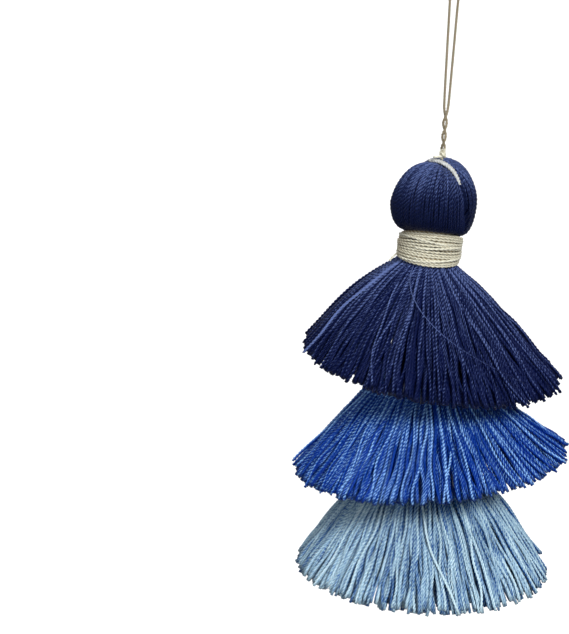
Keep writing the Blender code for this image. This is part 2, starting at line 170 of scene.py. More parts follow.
# The bundle from a skirt's waist up to the hank above, by height over the tie and share of the
# waist's radius. The top skirt's stops inside the binding.
CoreRow = namedtuple("CoreRow", "rise share")
CORE_ROWS = (
    CoreRow(0.0000, 0.97),
    CoreRow(0.0018, 0.97),
    CoreRow(0.0037, 0.90),
    CoreRow(0.0060, 0.44),
    CoreRow(0.0090, 0.40),
    CoreRow(0.0125, 0.38),
    CoreRow(0.0150, 0.36),
)
TOP_CORE_ROWS = tuple(row._replace(rise=row.rise * 0.8) for row in CORE_ROWS[:3])
CORE_YARNS = 30
CORE_RINGS = 16
CORE_SIDES = 6
CORE_GIRTH = 1.4  # of a yarn's

# Head, as in the solids
HEAD_CENTRE = np.array((-0.00095, 0.0, -0.0446))
LOBE_LONG = 0.0068
LOBE_DEEP = 0.0054
LOBE_OFFSET = 0.0027
LOBE_RISE = 0.0080
SHOULDER_FALL = 0.18
CLEFT_DEPTH = 0.0018
CLEFT_WIDTH = 0.0013
HEAD_FULLNESS = 2.55
GROOVE_TURN = math.radians(-28)
GROOVE_TURN_BELOW = math.radians(-15)
POLE_LEAN = math.radians(7)
INSIDE_WAIST = 0.0012  # how far its yarns run on down inside the binding

# The head's yarns, on a bed of plainer ones. Depth is below the head's outside, step is between the
# sections of a yarn, and palest is the tone of the palest yarns near the top, pale there as painted
# light from above; the bed's is lower, painted shade under the yarns over it.
HeadLayer = namedtuple("HeadLayer", "count radius depth step is_plied palest")
HEAD_LAYERS = (
    HeadLayer(116, 0.00028, 0.00028, FINE_STEP, True, 0.82),
    HeadLayer(64, 0.00048, 0.00078, 0.00080, False, 0.50),
)
HEAD_POLE = math.radians(84)  # where they start, under the knot
HEAD_SAMPLES = 40
HEAD_YARN_PITCH = 0.00155
HEAD_PLACE_SPREAD = 0.14  # of the space between yarns
HEAD_DEPTH_SPREAD = 0.00005
HEAD_TONE_SPREAD = (0.5, 1.0)
HEAD_WAVE = 0.00008
HEAD_WAVE_RATES = (6, 14)
HEAD_SHADE_LEVELS = (-0.0470, -0.0395)  # the yarns are deep below the first and pale above the second
HEAD_DEEPEST = -0.42
OUTLINE_POINTS = 1441
OUTLINE_LEVEL = math.radians(20)

# Cords
UPRIGHT = (0.0, 0.0, 1.0)
BACKWARD = (0.0, 1.0, 0.0)
CORD_PITCH = 0.0011
CORD_PLY_DEPTH = 0.22
CURVE_STEPS = 12  # from one chosen point to the next

# Neck binding. It starts GAP above the tie.
GAP = 0.0003
BINDING_HEIGHT = 0.0047
BINDING_FRONT_LIFT = 0.0020
BINDING_RIGHT_LIFT = 0.0002
BINDING_TOP_GAP = 0.00050
BINDING_RADIUS = 0.00565
BINDING_BARREL = 0.00022
BINDING_TURNS = 12
BINDING_STEPS = 96  # sections a turn
BINDING_CORD = 0.00048
BINDING_PITCH = 0.0017
BINDING_PILE = 0.00018  # the crowded turns behind ride over each other by this much
BINDING_MARGIN = 0.8  # keeps the turns this share of half a cord inside the band's edges
# Painted shade: the band's turns darken towards its left side, away from the key light
BAND_LEFT_SHADE_PLACES = (-0.95, -0.70)  # cosines, at the band's left side
BAND_LEFT_SHADE = -0.25

# Small waves of the turns, up and down as shares of the band's height, and in and out
Wave = namedtuple("Wave", "size rate phase")
BINDING_WANDER = (Wave(0.011, 0.31, 1.0), Wave(0.008, 1.17, 0.0), Wave(0.005, 2.30, 2.0))
BINDING_BUMPS = (Wave(0.00005, 0.83, 0.5), Wave(0.00004, 3.10, 0.0))

# The band's layers of turns, by their depth in cords, and the turns that cross over them from one
# share of its height to another. A layer's tone is lower the deeper it lies, painted shade under the
# turns over it.
Winding = namedtuple("Winding", "depth turns tone start")
WINDINGS = (
    Winding(0.0, BINDING_TURNS, 0.55, math.radians(150)),
    Winding(0.5, BINDING_TURNS - 1, 0.10, math.radians(20)),
)
Crossing = namedtuple("Crossing", "start low high span")
CROSSINGS = (
    Crossing(math.radians(190), 0.08, 0.30, 0.50),
    Crossing(math.radians(165), 0.90, 0.66, 0.40),
    Crossing(math.radians(235), 0.50, 0.62, 0.30),
)
CROSSING_CORD = BINDING_CORD * 0.9
CROSSING_TONE = 0.8
CROSSING_DEPTH = 0.00004
CROSSING_SINK = 0.00045  # at both ends

# The binding's free end, by steps from where it leaves the band
TAIL_Y = -0.0004
TAIL_RISE = 0.0004
TAIL_STEPS = (
    (0.0005, 0.0000, 0.0003),
    (-0.0002, 0.0000, -0.0002),
    (-0.0007, -0.0002, -0.0007),
    (-0.0012, -0.0003, -0.0013),
)
TAIL_DIAMETER = 0.00042
TAIL_RINGS = 36

# Hanging loop, as in the solids: half the spread of its two legs and their turns about each other
CORD_DIAMETER = 0.0005
LoopRow = namedtuple("LoopRow", "z spread turns")
LOOP_ROWS = (
    LoopRow(-0.03445, 0.00029, 0.00),
    LoopRow(-0.03240, 0.00029, 0.46),
    LoopRow(-0.03020, 0.00030, 0.92),
    LoopRow(-0.02820, 0.00032, 1.32),
    LoopRow(-0.02650, 0.00037, 1.48),
    LoopRow(-0.02450, 0.00043, 1.50),
    LoopRow(-0.01600, 0.00058, 1.50),
    LoopRow(-0.00800, 0.00072, 1.50),
    LoopRow(-0.00400, 0.00092, 1.50),
    LoopRow(-0.00100, 0.00110, 1.50),
)
PARTED_ROW = 5  # the legs are twisted below this row
LOOP_SHADE_PLACES = (-0.0290, -0.0230)  # the twisted legs below are a deeper tan
LOOP_TONES = (-0.70, -0.25)
LOOP_RINGS = 620
TWISTED_STEP = 0.0006
PARTED_STEP = 0.0021
BIGHT_POINTS = 7

# Knot: a coil, the strands laid into it and the loop's two legs
KNOT_Z = -0.0355
KNOT_TURNS = 2.4
KNOT_START = 0.6
KNOT_COIL = 0.00040
KNOT_COIL_CORD = 0.00046
KNOT_COIL_RINGS = 120
KNOT_COIL_TONE = 0.55
KNOT_WOBBLE = Wave(0.12, 3, 0.0)
KNOT_HALF_HEIGHT = 0.00042
Strand = namedtuple("Strand", "points rings diameter reference tone")
KNOT_OVER = Strand(
    ((-0.00030, -0.00028, -0.03505), (-0.00012, -0.00052, -0.03530), (0.00018, -0.00054, -0.03555),
     (0.00044, -0.00030, -0.03582), (0.00040, 0.00010, -0.03600)),
    40, 0.00044, UPRIGHT, 0.75,
)
KNOT_CORE = Strand(
    ((0.00010, 0.0, -0.03470), (0.00005, 0.0, -0.03550), (-0.00015, 0.0, -0.03640)),
    30, 0.00060, BACKWARD, 0.40,
)
KNOT_STUB = Strand(
    ((0.0, -0.0002, -0.03590), (-0.0007, -0.0010, -0.03575), (-0.0016, -0.0016, -0.03575)),
    30, 0.00046, UPRIGHT, 0.95,
)
KNOT_LEG_STEPS = ((0.00027, -0.00016, 0.0003), (0.00014, -0.00026, 0.0007))  # the last is a fall
KNOT_LEG_END = -0.0002
KNOT_LEG_RINGS = 24
KNOT_LEG_TONE = 0.60

# Groove tie, over the head from one rise to another. It sinks and narrows away from its middle.
TIE_FROM = math.radians(42)
TIE_TO = math.radians(99)
TIE_MIDDLE = math.radians(86)
TIE_HALF = math.radians(44)
TIE_POINTS = 40
TIE_RINGS = 110
TIE_LIFT = 0.00104
TIE_SINK = 0.0005
TIE_SINK_FROM = 0.5  # of the half length
TIE_SINK_GROWTH = 1.2
TIE_SIDE = -0.00035  # it lies on the front lobe's edge of the groove
TIE_SPREAD = 0.00028
TIE_NARROW_FROM = 0.3  # of the half length
TIE_NARROWEST = 0.30
TIE_STRAND = 0.00060
TIE_TONES = (0.95, 0.75)

# Surroundings
FLOOR_LEVEL = -0.45
FLOOR_COLOUR = (0.93, 0.93, 0.93, 1)
FLOOR_ROUGHNESS = 0.9
STAGE_REACH = 6.0  # half the floor's side, and the backdrop's radius
BLACK = (0.0, 0.0, 0.0, 1)
WHITE = (1.0, 1.0, 1.0, 1)
Sun = namedtuple("Sun", "name side strength softness")
SUNS = (
    Sun("key", (0.34, -0.92, 0.66), 3.3, math.radians(14)),
    Sun("fill", (-0.4, -1.0, 0.05), 1.0, math.radians(60)),
    Sun("back", (-0.4, 1.0, 0.9), 0.6, math.radians(60)),
)
WorldRow = namedtuple("WorldRow", "height strength")
WORLD_LOW = WorldRow(-0.15, 0.03)
WORLD_HIGH = WorldRow(1.0, 0.85)

# Yarn and cord material. How pale it is adds up shares of its plies, tone, fibres, slubs and edges.
# The plies' pale crests are painted highlights, their grooves and edges painted shade, and tone
# carries painted shade besides its random part.
PLY_SHARPNESS = 1.5
PLY_MEAN = 0.55
TONE_SHARE = 0.55
FIBRE_SHARE = 0.50
SLUB_SHARE = 0.60
EDGE_SHARE = 0.42  # how much a ply darkens towards its edges, painted shade
BASE_LIGHT = -0.40
FIBRES_ROUND = 9.0
FIBRE_DETAIL = 3.0
FIBRE_SHIFT = 37.0  # by the yarn's tone, so that no two yarns match
FIBRE_SCALE = 2600.0
HEAD_FIBRE_SCALE = 4200.0
CORD_FIBRE_SCALE = 3600.0
FIBRE_HEIGHT = 0.55
SLUB_SCALE = 1300.0
SLUB_SHIFT = 91.0
SLUB_DETAIL = 2.0
RAMP_PLACES = (0.12, 0.46, 0.88)
CUT_PLACES = (0.965, 1.0)  # the last stretch before a yarn's cut end, darkened as painted shade
CUT_LIGHT = (1.0, 0.55)
ROUGHNESS_SPREAD = (-0.10, 0.14)
BUMP_STRENGTH = 0.80
BUMP_DISTANCE = 0.00007
GLOSS = 0.14

# A palette's deep colour also serves as painted shade, and its pale one as painted highlights on crests
Palette = namedtuple("Palette", "deep middle pale gloss_tint ply_share roughness")
NAVY = Palette(
    (0.0004, 0.0020, 0.024), (0.0030, 0.0070, 0.044), (0.095, 0.135, 0.310), (0.40, 0.50, 1.0), 0.50, 0.44,
)
NAVY_HEAD = NAVY._replace(
    deep=(0.0012, 0.0028, 0.017), middle=(0.0040, 0.0080, 0.042), ply_share=0.34,
)
ROYAL = Palette(
    (0.0002, 0.017, 0.200), (0.005, 0.049, 0.255), (0.250, 0.465, 0.830), (0.55, 0.75, 1.0), 0.50, 0.40,
)
SKY = Palette(
    (0.003, 0.055, 0.220), (0.258, 0.405, 0.520), (0.510, 0.670, 0.750), (0.85, 0.95, 1.0), 0.30, 0.40,
)
CREAM = Palette(
    (0.300, 0.240, 0.145), (0.580, 0.560, 0.445), (0.740, 0.730, 0.620), (1.0, 0.98, 0.9), 0.24, 0.40,
)
TIE_CORD = CREAM._replace(middle=(0.400, 0.410, 0.400), pale=(0.640, 0.660, 0.660))
LOOP_CORD = CREAM._replace(deep=(0.240, 0.200, 0.130), middle=(0.370, 0.350, 0.290))

dice = np.random.default_rng(SEED)


# ---------------------------------------------------------------- lines


def unit(vectors):
    """The same directions at length 1."""
    return vectors / np.linalg.norm(vectors, axis=-1, keepdims=True)


def arcs(lines):
    """How far along its line each point lies."""
    along = np.zeros(lines.shape[:2])
    along[:, 1:] = np.cumsum(np.linalg.norm(np.diff(lines, axis=1), axis=2), axis=1)
    return along


def points_at(line, along, wanted):
    return np.stack([np.interp(wanted, along, line[:, i]) for i in range(3)], axis=1)


def resample(line, count):
    """The same line with its points evenly apart."""
    along = arcs(line[None])[0]
    return points_at(line, along, np.linspace(0.0, along[-1], count))


def sideways(angle):
    """Level directions round the axis at these angles."""
    return np.stack((-np.sin(angle), np.cos(angle), np.zeros(len(angle))), axis=-1)


def across(lines, reference):
    """The two directions across each line at its points, one of them square to the reference."""
    tangent = unit(np.gradient(lines, axis=1))
    side = unit(np.cross(tangent, np.broadcast_to(np.asarray(reference, float), lines.shape)))
    return side, np.cross(side, tangent)


def waves(places, rows, start=0.0):
    """The start with the rows' waves added to it."""
    for row in rows:
        start = start + row.size * np.sin(places * row.rate + row.phase)
    return start


# ---------------------------------------------------------------- tubes


# Tubes as one mesh: its points and faces, the faces' UVs, and for every point the strand's tone, the
# share of its length so far and how far the point faces out of its yarn. The tone carries painted
# shade too, and how far a point faces out paints shade on a ply's edges.
Batch = namedtuple("Batch", "points quads caps uvs cap_uvs tone along front")


def tubes(lines, radius, sides, reference, pitch, depth, tone, offsets=None, phase=None):
    """Closed tubes along the lines (strand, ring, axis). Depth shapes a section of joined plies that
    turns with the arc. A round section has 0, with painted plies, or a phase where the tube is itself
    a ply: its turns about the yarn, which paint it pale in front and deep behind, painted shade."""
    lines = np.asarray(lines, float)
    strands, rings, _ = lines.shape
    radius = np.broadcast_to(np.asarray(radius, float), (strands, rings))
    side, up = across(lines, reference)
    arc = arcs(lines)
    start = np.zeros(strands) if offsets is None else offsets
    turns = (arc + start[:, None]) / pitch
    theta = math.tau * np.arange(sides) / sides
    swell = 1 + depth * np.cos(PLIES * theta)
    reach = (radius[..., None] * swell)[..., None]
    twist = turns if depth else np.zeros_like(turns)
    angle = (theta - math.tau * twist[..., None])[..., None]
    ring_way = np.cos(angle) * side[:, :, None, :] + np.sin(angle) * up[:, :, None, :]
    points = lines[:, :, None, :] + reach * ring_way
    index = np.arange(strands * rings * sides).reshape(strands, rings, sides)
    here, there = index, np.roll(index, -1, axis=2)
    quads = np.stack(
        (here[:, :-1], here[:, 1:], there[:, 1:], there[:, :-1]), axis=-1
    ).reshape(-1, 4)
    caps = np.concatenate((index[:, 0], index[:, -1, ::-1]))
    if phase is not None:
        u = np.broadcast_to(phase[..., None] / PLIES, (strands, rings, sides + 1))
    elif depth:
        u = np.arange(sides + 1) / sides + (turns - twist)[..., None]
    else:
        u = PAINTED_REPEAT * np.arange(sides + 1) / sides + turns[..., None]
    v = np.broadcast_to((arc + start[:, None])[..., None], u.shape)
    grid = np.stack((u, v), axis=-1)
    uvs = np.stack(
        (grid[:, :-1, :-1], grid[:, 1:, :-1], grid[:, 1:, 1:], grid[:, :-1, 1:]), axis=-2
    ).reshape(-1, 2)
    cap_uvs = np.concatenate((grid[:, 0, :-1], grid[:, -1, -2::-1])).reshape(-1, 2)
    share = np.broadcast_to(np.linspace(0, 1, rings)[None, :, None], (strands, rings, sides))
    tone = np.asarray(tone, float).reshape(strands, -1, 1)
    tones = np.broadcast_to(tone, (strands, rings, sides))
    # painted shade: a ply is pale where it faces out of its yarn and deep at its edges and behind
    front = PLAIN_FRONT * np.ones(sides) if phase is None else np.maximum(0, np.sin(theta))
    fronts = np.broadcast_to(front, (strands, rings, sides))
    return Batch(
        points.reshape(-1, 3), quads, caps, uvs, cap_uvs, tones.ravel(), share.ravel(), fronts.ravel()
    )


def plied(lines, radius, reference, pitch, tone, offsets):
    """Two-ply yarns along the lines: a tube for each ply, twisted about the yarn's middle."""
    radius = np.broadcast_to(np.asarray(radius, float), lines.shape[:2])
    side, up = across(lines, reference)
    arc = arcs(lines)
    made = []
    own_pitch = pitch * dice.uniform(1 - PITCH_SPREAD, 1 + PITCH_SPREAD, (len(lines), 1))
    for ply in range(PLIES):
        phase = -((arc + offsets[:, None]) / own_pitch + ply / PLIES)
        angle = math.tau * phase[..., None]
        outward = np.cos(angle) * side + np.sin(angle) * up
        middles = lines + (PLY_OFFSET * radius)[..., None] * outward
        made.append(
            tubes(middles, PLY_GIRTH * radius, PLY_SIDES, side, pitch, 0.0, tone,
                  offsets + ply * PLY_NOISE_STEP, phase)
        )
    return made


def mesh_piece(name, batches, material, nodes=()):
    """One object from the batches, riding on the tassel and standing for the named solids."""
    first = np.cumsum([0] + [len(batch.points) for batch in batches])
    points = np.concatenate([batch.points for batch in batches])
    corners = []
    sizes = []
    uvs = []
    for offset, batch in zip(first, batches):
        for faces, face_uvs in ((batch.quads, batch.uvs), (batch.caps, batch.cap_uvs)):
            corners.append((faces + offset).ravel())
            sizes.append(np.full(len(faces), faces.shape[1]))
            uvs.append(face_uvs)
    corners = np.concatenate(corners)
    sizes = np.concatenate(sizes)
    mesh = bpy.data.meshes.new(name)
    mesh.vertices.add(len(points))
    mesh.vertices.foreach_set("co", points.astype(np.float32).ravel())
    mesh.loops.add(len(corners))
    mesh.loops.foreach_set("vertex_index", corners.astype(np.int32))
    mesh.polygons.add(len(sizes))
    starts = np.concatenate(([0], np.cumsum(sizes)[:-1]))
    mesh.polygons.foreach_set("loop_start", starts.astype(np.int32))
    layer = mesh.uv_layers.new(name="strand")
    layer.data.foreach_set("uv", np.concatenate(uvs).astype(np.float32).ravel())
    for label in ("tone", "along", "front"):
        attribute = mesh.attributes.new(label, "FLOAT", "POINT")
        values = np.concatenate([getattr(batch, label) for batch in batches])
        attribute.data.foreach_set("value", values.astype(np.float32))
    mesh.update(calc_edges=True)
    mesh.validate()
    mesh.shade_smooth()
    mesh.materials.append(material)
    piece = bpy.data.objects.new(name, mesh)
    bpy.context.scene.collection.objects.link(piece)
    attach(piece, "root")
    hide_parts(*nodes)
    return piece


# ---------------------------------------------------------------- materials


def strand_material(name, palette, fibre_scale=FIBRE_SCALE):
    """Two-ply yarn: painted shade between its plies, at their edges and at its cut end, painted
    highlights on the plies' crests, and fine fibres along the plies.
    """
    material = bpy.data.materials.new(name)
    material.use_nodes = True
    tree = material.node_tree
    shader = tree.nodes["Principled BSDF"]

    def node(kind, **settings):
        made = tree.nodes.new(kind)
        for key, value in settings.items():
            setattr(made, key, value)
        return made

    def link(source, target):
        tree.links.new(source, target)

    def math_node(operation, *values):
        made = node("ShaderNodeMath", operation=operation)
        for socket, value in zip(made.inputs, values):
            if isinstance(value, bpy.types.NodeSocket):
                link(value, socket)
            else:
                socket.default_value = value
        return made.outputs[0]

    def attribute(label):
        return node("ShaderNodeAttribute", attribute_name=label).outputs["Fac"]

    def noise(places, detail):
        """Noise over places that are already at its scale."""
        joined = node("ShaderNodeCombineXYZ")
        for place, socket in zip(places, joined.inputs):
            link(place, socket)
        made = node("ShaderNodeTexNoise")
        made.inputs["Scale"].default_value = 1.0
        made.inputs["Detail"].default_value = detail
        link(joined.outputs[0], made.inputs["Vector"])
        return made.outputs["Fac"]

    def map_range(value, source, target):
        made = node("ShaderNodeMapRange")
        for label, number in zip(("From Min", "From Max", "To Min", "To Max"), (*source, *target)):
            made.inputs[label].default_value = number
        link(value, made.inputs["Value"])
        return made.outputs[0]

    uv = node("ShaderNodeUVMap", uv_map="strand")
    split = node("ShaderNodeSeparateXYZ")
    link(uv.outputs[0], split.inputs[0])
    turn, arc = split.outputs[0], split.outputs[1]
    # painted plies: pale crests as painted highlights, the deep between them painted shade
    ply = math_node("COSINE", math_node("MULTIPLY", turn, PLIES * math.tau))
    ply = math_node("POWER", math_node("MULTIPLY_ADD", ply, 0.5, 0.5), PLY_SHARPNESS)
    tone = attribute("tone")
    fibre = noise(
        (
            math_node("MULTIPLY", turn, FIBRES_ROUND),
            math_node("MULTIPLY", arc, fibre_scale),
            math_node("MULTIPLY", tone, FIBRE_SHIFT),
        ),
        FIBRE_DETAIL,
    )
    slub = noise(
        (math_node("MULTIPLY", arc, SLUB_SCALE), math_node("MULTIPLY", tone, SLUB_SHIFT)), SLUB_DETAIL
    )

    # painted highlights and shade from plies, edges and tone, with random fibres and slubs
    light = math_node("MULTIPLY", ply, palette.ply_share)
    for source, share in (
        (tone, TONE_SHARE), (fibre, FIBRE_SHARE), (slub, SLUB_SHARE), (attribute("front"), EDGE_SHARE)
    ):
        light = math_node("ADD", light, math_node("MULTIPLY", source, share))
    light = math_node(
        "ADD", light, BASE_LIGHT - palette.ply_share * PLY_MEAN - EDGE_SHARE * PLAIN_FRONT
    )
    ramp = node("ShaderNodeValToRGB")
    link(light, ramp.inputs[0])
    stops = ramp.color_ramp.elements
    stops[0].position = RAMP_PLACES[0]
    stops[0].color = (*palette.deep, 1)
    stops[1].position = RAMP_PLACES[2]
    stops[1].color = (*palette.pale, 1)
    middle = stops.new(RAMP_PLACES[1])
    middle.color = (*palette.middle, 1)

    # painted shade over the last stretch to the cut end
    darker = node("ShaderNodeVectorMath", operation="SCALE")
    link(ramp.outputs["Color"], darker.inputs[0])
    link(map_range(attribute("along"), CUT_PLACES, CUT_LIGHT), darker.inputs["Scale"])
    link(darker.outputs[0], shader.inputs["Base Color"])

    smoothest, roughest = (palette.roughness + change for change in ROUGHNESS_SPREAD)
    link(map_range(fibre, (0.0, 1.0), (smoothest, roughest)), shader.inputs["Roughness"])
    bump = node("ShaderNodeBump")
    bump.inputs["Strength"].default_value = BUMP_STRENGTH
    bump.inputs["Distance"].default_value = BUMP_DISTANCE
    link(math_node("ADD", ply, math_node("MULTIPLY", fibre, FIBRE_HEIGHT)), bump.inputs["Height"])
    link(bump.outputs[0], shader.inputs["Normal"])
    shader.inputs["Specular IOR Level"].default_value = GLOSS
    shader.inputs["Specular Tint"].default_value = (*palette.gloss_tint, 1)
    return material


# ---------------------------------------------------------------- camera, floor and light


def make_camera():
    right, up = Vector((1, 0, 0)), Vector((0, math.sin(CAMERA_PITCH), math.cos(CAMERA_PITCH)))
    ahead = Vector((0, math.cos(CAMERA_PITCH), -math.sin(CAMERA_PITCH)))
    rolled_right = right * math.cos(CAMERA_ROLL) + up * math.sin(CAMERA_ROLL)
    rolled_up = up * math.cos(CAMERA_ROLL) - right * math.sin(CAMERA_ROLL)
    turn = Matrix((rolled_right, rolled_up, -ahead)).transposed().to_4x4()
    data = bpy.data.cameras.new("photo_camera")
    data.lens = CAMERA_LENS
    data.sensor_width = CAMERA_SENSOR
    data.clip_start = CAMERA_NEAR
    camera = bpy.data.objects.new("photo_camera", data)
    place = Vector(CAMERA_AIM) - ahead * CAMERA_DISTANCE
    camera.matrix_world = Matrix.Translation(place) @ turn
    bpy.context.scene.collection.objects.link(camera)
    bpy.context.scene.camera = camera


def make_sun(sun):
    """A broad light that shines from one side towards the origin."""
    data = bpy.data.lights.new(sun.name, "SUN")
    data.energy = sun.strength
    data.angle = sun.softness
    light = bpy.data.objects.new(sun.name, data)
    light.matrix_world = (-Vector(sun.side)).to_track_quat("-Z", "Y").to_matrix().to_4x4()
    bpy.context.scene.collection.objects.link(light)


def make_world():
    """Soft white surroundings, brighter above than below."""
    world = bpy.data.worlds.new("studio")
    world.use_nodes = True
    tree = world.node_tree
    place = tree.nodes.new("ShaderNodeTexCoord")
    split = tree.nodes.new("ShaderNodeSeparateXYZ")
    fade = tree.nodes.new("ShaderNodeMapRange")
    fade.inputs["From Min"].default_value = WORLD_LOW.height
    fade.inputs["From Max"].default_value = WORLD_HIGH.height
    fade.inputs["To Min"].default_value = WORLD_LOW.strength
    fade.inputs["To Max"].default_value = WORLD_HIGH.strength
    background = tree.nodes["Background"]
    background.inputs["Color"].default_value = WHITE
    tree.links.new(place.outputs["Generated"], split.inputs[0])
    tree.links.new(split.outputs[2], fade.inputs["Value"])
    tree.links.new(fade.outputs[0], background.inputs["Strength"])
    bpy.context.scene.world = world
    bpy.context.scene.view_settings.view_transform = "Standard"


def stage_object(name, mesh, values):
    """An object of the surroundings, with these values on its shader. It lights nothing."""
    material = bpy.data.materials.new(f"pale_{name}")
    material.use_nodes = True
    shader = material.node_tree.nodes["Principled BSDF"]
    for socket, value in values.items():
        shader.inputs[socket].default_value = value
    mesh.materials.append(material)
    made = bpy.data.objects.new(name, mesh)
    made.visible_diffuse = False
    bpy.context.scene.collection.objects.link(made)
    return made


def make_floor(level, half_size):
    corners = [(-1, -1), (1, -1), (1, 1), (-1, 1)]
    mesh = bpy.data.meshes.new("floor")
    mesh.from_pydata([(x * half_size, y * half_size, level) for x, y in corners], [], [(0, 1, 2, 3)])
    floor = stage_object("floor", mesh, {"Base Color": FLOOR_COLOUR, "Roughness": FLOOR_ROUGHNESS})


def make_backdrop(radius):
    """A pale surround that only the camera sees, so it changes no light on the tassel."""
    bm = bmesh.new()
    bmesh.ops.create_uvsphere(bm, u_segments=64, v_segments=32, radius=radius)
    mesh = bpy.data.meshes.new("backdrop")
    bm.to_mesh(mesh)
    bm.free()
    backdrop = stage_object(
        "backdrop",
        mesh,
        {
            "Base Color": BLACK,
            "Specular IOR Level": 0.0,
            "Emission Color": WHITE,
            "Emission Strength": 1.0,
        },
    )
    backdrop.visible_glossy = False
    backdrop.visible_transmission = False
    backdrop.visible_shadow = False


def make_stage():
    make_floor(FLOOR_LEVEL, STAGE_REACH)
    make_backdrop(STAGE_REACH)
    for sun in SUNS:
        make_sun(sun)
    make_world()


# ---------------------------------------------------------------- skirts


def drawn_to_clumps(angle, clumps, lifts):
    """How far each yarn turns towards its nearest clump, and how far that clump stands out."""
    apart = (clumps[None, :] - angle[:, None] + math.pi) % math.tau - math.pi
    nearest = np.abs(apart).argmin(axis=1)
    return apart[np.arange(len(angle)), nearest] * CLUMP_PULL, lifts[nearest]


def tie_place(skirt, x, y, height):
    """World places of points in the tie's own tilted plane."""
    c, s = math.cos(skirt.tie_tilt), math.sin(skirt.tie_tilt)
    return np.stack((skirt.tie_x + x * c + height * s, y, skirt.tie_z - x * s + height * c), axis=-1)


def tie_ring(skirt, radius, angle, height):
    """World places on a circle about the tie."""
    return tie_place(skirt, radius * np.cos(angle), radius * np.sin(angle), height)


def skirt_lines(skirt, angle, root, aim, turn, length_share):
    """Centrelines of a skirt's yarns, from inside the waist to the tip. aim 1 ends on the rim; less
    hangs steeper. turn is the change of a yarn's direction about the axis between root and tip."""
    n = len(angle)
    radial = np.stack((np.cos(angle), np.sin(angle), np.zeros(n)), axis=-1)
    down = np.array((0.0, 0.0, -1.0))
    leaves = tie_ring(skirt, root, angle, np.zeros(n))
    rim = np.stack(
        (
            skirt.rim_x + skirt.rim_radius * np.cos(angle + turn),
            skirt.rim_radius * np.sin(angle + turn),
            skirt.rim_z - math.tan(skirt.rim_tilt) * skirt.rim_radius * np.cos(angle + turn)
            - skirt.back_drop * np.maximum(0, np.sin(angle + turn)),
        ),
        axis=-1,
    )
    rim_reach = np.linalg.norm(rim[:, :2] - leaves[:, :2], axis=1)
    drop = leaves[:, 2] - rim[:, 2]
    rim_flare = np.arctan2(rim_reach, drop)
    flare = rim_flare * aim
    trimmed = (np.cos(rim_flare) / np.cos(flare)) ** TRIM
    length = np.hypot(rim_reach, drop) * trimmed * length_share
    run = radial * np.sin(flare)[:, None] + down * np.cos(flare)[:, None]
    outward = radial * np.cos(flare)[:, None] - down * np.sin(flare)[:, None]
    bulge = (skirt.bulge + skirt.bulge_right * np.cos(angle)) * aim
    lift = outward * (2 / 3 * bulge)[:, None]
    shoulder = outward * (SHOULDER * aim)[:, None]
    a = leaves
    b = leaves + run * (length / 3)[:, None] + lift + shoulder
    c = leaves + run * (2 * length / 3)[:, None] + lift
    d = leaves + run * length[:, None]
    t = np.linspace(0, 1, SKIRT_SAMPLES)[None, :, None]
    curve = (
        a[:, None] * (1 - t) ** 3
        + b[:, None] * (3 * t * (1 - t) ** 2)
        + c[:, None] * (3 * t**2 * (1 - t))
        + d[:, None] * t**3
    )
    t = t[..., 0]
    arc = t * length[:, None]
    for way, share in ((sideways(angle), 1.0), (outward, WAVE_OUTWARD)):
        wavelength = dice.uniform(*WAVE_LENGTHS, (n, 1))
        phase = dice.uniform(0, math.tau, (n, 1))
        wave = WAVE * share * dice.uniform(*WAVE_SPREAD, (n, 1))
        shift = wave * (np.sin(math.tau * arc / wavelength + phase) - np.sin(phase)) * t**WAVE_GROWTH
        curve += shift[..., None] * way[:, None]
    swing = turn[:, None] * t**TURN_GROWTH
    x, y = curve[..., 0] - skirt.tie_x, curve[..., 1]
    turned = curve.copy()
    turned[..., 0] = skirt.tie_x + x * np.cos(swing) - y * np.sin(swing)
    turned[..., 1] = x * np.sin(swing) + y * np.cos(swing)
    return with_roots(skirt, turned, angle, root)


def with_roots(skirt, lines, angle, root):
    """The same lines, starting inside the waist above the tie."""
    above = [tie_ring(skirt, root, angle, np.full(len(angle), height)) for height in ROOT_HEIGHTS]
    joined = np.concatenate((np.stack(above, axis=1), lines), axis=1)
    ring = len(ROOT_HEIGHTS)
    for _ in range(ROOT_SMOOTHING):
        part = joined[:, ring - 2 : ring + 5]
        part[:, 1:-1] = (part[:, :-2] + 2 * part[:, 1:-1] + part[:, 2:]) / 4
    return joined


def visible_part(lines, hidden_share):
    """Points close together where the yarn shows, and few where another skirt hides it."""
    made = []
    fine = int(arcs(lines)[:, -1].mean() * (1 - hidden_share) / FINE_STEP)
    for line in lines:
        along = arcs(line[None])[0]
        limit = along[-1] * hidden_share
        coarse = np.linspace(0, limit, HIDDEN_RINGS, endpoint=False) if hidden_share else []
        wanted = np.concatenate((coarse, np.linspace(limit, along[-1], fine)))
        made.append(points_at(line, along, wanted))
    return np.array(made)


